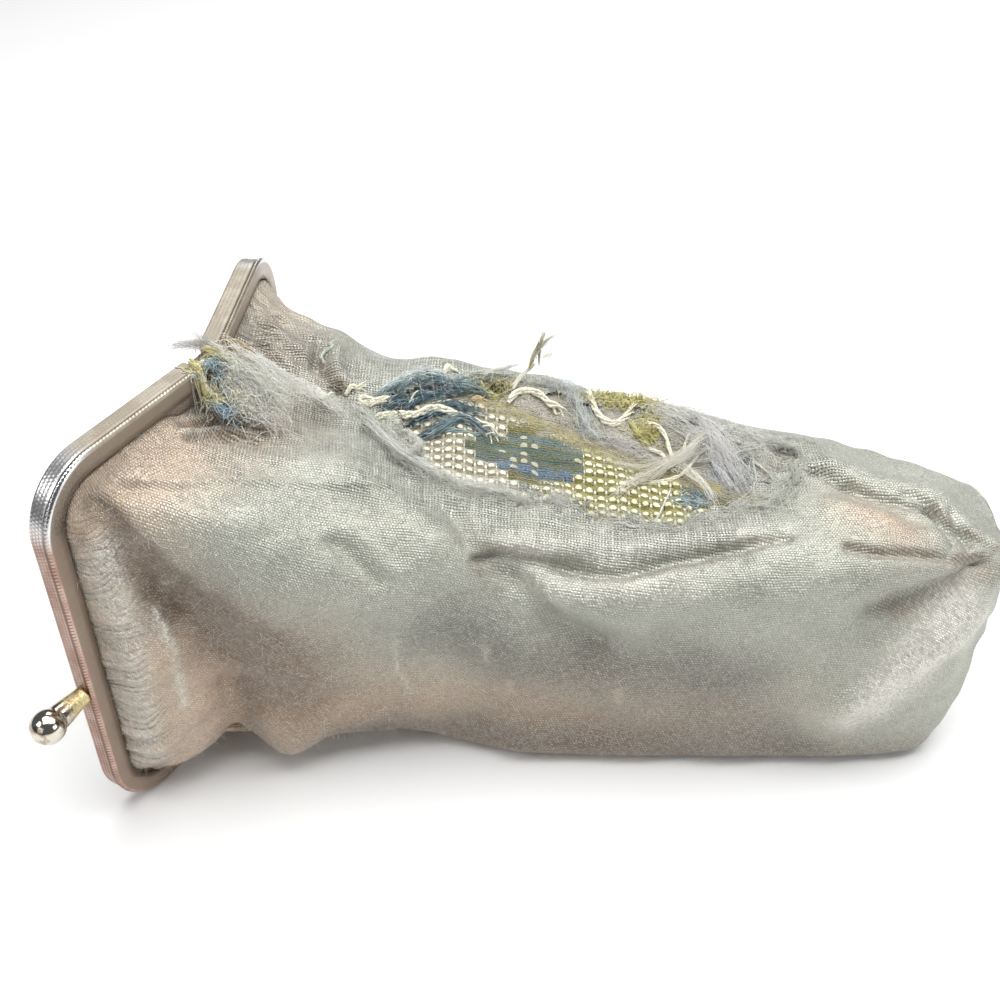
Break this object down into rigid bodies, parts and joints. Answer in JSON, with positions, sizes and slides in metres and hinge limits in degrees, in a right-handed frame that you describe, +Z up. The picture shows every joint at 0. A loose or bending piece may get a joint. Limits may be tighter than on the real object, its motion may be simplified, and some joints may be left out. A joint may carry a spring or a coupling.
{
  "type": "kiss lock pouch",
  "caption": "Long soft satin pouch with a brocade layer under it, gathered into a hinged metal frame with a ball clasp, lying open on its side, torn and frayed along the top.",
  "frame": {"origin": "centre of the bounding box's underside, on the surface that the pouch lies on", "axes": "+X along the pouch from its mouth to its closed end, +Y from the front panel to the back one, +Z up, along the hinge axis"},
  "size_m": [0.1838, 0.1072, 0.085],
  "materials": {
    "frame_metal": "worn nickel plate with a warm cast",
    "rivet_metal": "dull nickel plate",
    "clasp_metal": "bright plate worn to brass at the foot",
    "satin": "silver grey satin, fuzzy with wear",
    "brocade": "olive, cream and blue brocade, frayed"
  },
  "bodies": {
    "root": {"frame_front": "frame_metal", "frame_back": "frame_metal", "hinge_rivet_upper": "rivet_metal", "hinge_rivet_lower": "rivet_metal", "clasp_front": "clasp_metal", "clasp_back": "clasp_metal", "pouch_satin": "satin", "pouch_brocade": "brocade"}
  },
  "joints": []
}
